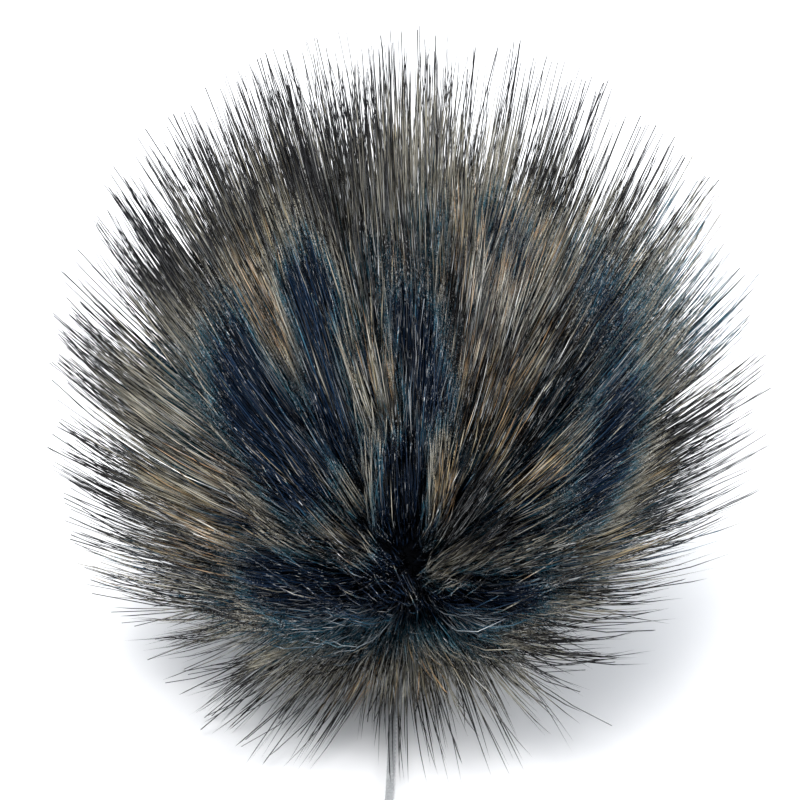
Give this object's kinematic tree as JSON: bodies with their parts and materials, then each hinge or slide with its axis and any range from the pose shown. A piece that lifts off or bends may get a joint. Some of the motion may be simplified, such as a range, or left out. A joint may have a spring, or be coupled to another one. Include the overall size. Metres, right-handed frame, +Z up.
{
  "type": "faux-fur pom pom with tie cord",
  "caption": "Round long-pile faux-fur pom pom, brushed upwards, with a grey tie cord that leaves its closure underneath.",
  "frame": {"origin": "middle of the small flat spot under the ball, on the surface that it rests on", "axes": "+Z up, -Y the front, where the pile parts and the cord leaves, +X to the right seen from the front"},
  "size_m": [0.1498, 0.1569, 0.1317],
  "materials": {
    "fur": "long glossy pile, each hair banded from root to tip in navy, teal, taupe and black",
    "cord": "soft matt grey yarn, twisted"
  },
  "bodies": {
    "root": {"fur_ball": "fur", "tie_cord": "cord", "tie_knot": "cord"}
  },
  "joints": []
}
